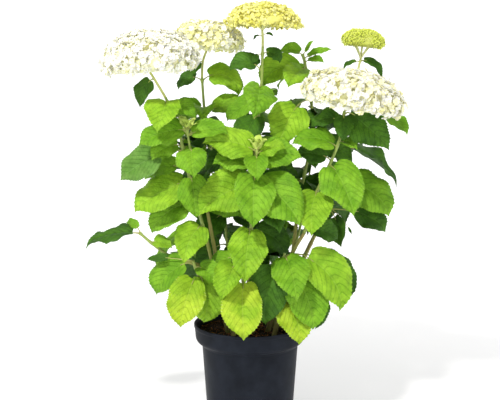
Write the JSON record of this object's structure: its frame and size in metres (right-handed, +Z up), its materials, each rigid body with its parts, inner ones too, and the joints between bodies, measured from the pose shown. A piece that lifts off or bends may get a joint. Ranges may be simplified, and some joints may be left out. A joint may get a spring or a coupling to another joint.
{
  "type": "potted flowering hydrangea shrub",
  "caption": "Flowering smooth hydrangea shrub in a round nursery pot, with leafy shoots on woody canes and domed flower heads on bare stalks.",
  "frame": {"origin": "middle of the pot's flat underside", "axes": "+Z up along the pot's axis, -Y towards the side of the crown that faces the viewer, +X to the viewer's right"},
  "size_m": [0.6554, 0.4085, 0.8391],
  "materials": {
    "pot": "satin",
    "soil": "rough",
    "wood": "rough",
    "stalk": "satin",
    "leaf": "satin",
    "young_flower": "matte",
    "flower": "matte"
  },
  "bodies": {
    "root": {"pot": "pot", "soil": "soil", "cane_left": "wood", "cane_left_tip": "wood", "cane_upper_left": "wood", "cane_upper_middle": "wood", "branch_upper_right": "wood", "cane_right_flower": "wood", "cane_right": "wood", "cane_centre": "wood", "cane_low_middle": "wood", "cane_low_right": "wood", "branch_low_left": "wood", "branch_side": "wood", "cane_back_left": "wood", "cane_back_middle": "wood", "cane_back_right": "wood", "flower_stalk_left": "stalk", "flower_head_left": "flower", "flower_stalk_upper_left": "stalk", "flower_head_upper_left": "flower", "flower_stalk_top": "stalk", "flower_head_top": "young_flower", "flower_stalk_small": "stalk", "flower_head_small": "young_flower", "flower_stalk_right": "stalk", "flower_head_right": "flower", "foliage_left": "leaf", "foliage_left_tip": "leaf", "foliage_upper_left": "leaf", "foliage_upper_middle": "leaf", "foliage_upper_right": "leaf", "foliage_right_flower": "leaf", "foliage_right": "leaf", "foliage_centre": "leaf", "foliage_low_middle": "leaf", "foliage_low_right": "leaf", "foliage_low_left": "leaf", "foliage_side": "leaf", "foliage_back_left": "leaf", "foliage_back_middle": "leaf", "foliage_back_right": "leaf"}
  },
  "joints": []
}
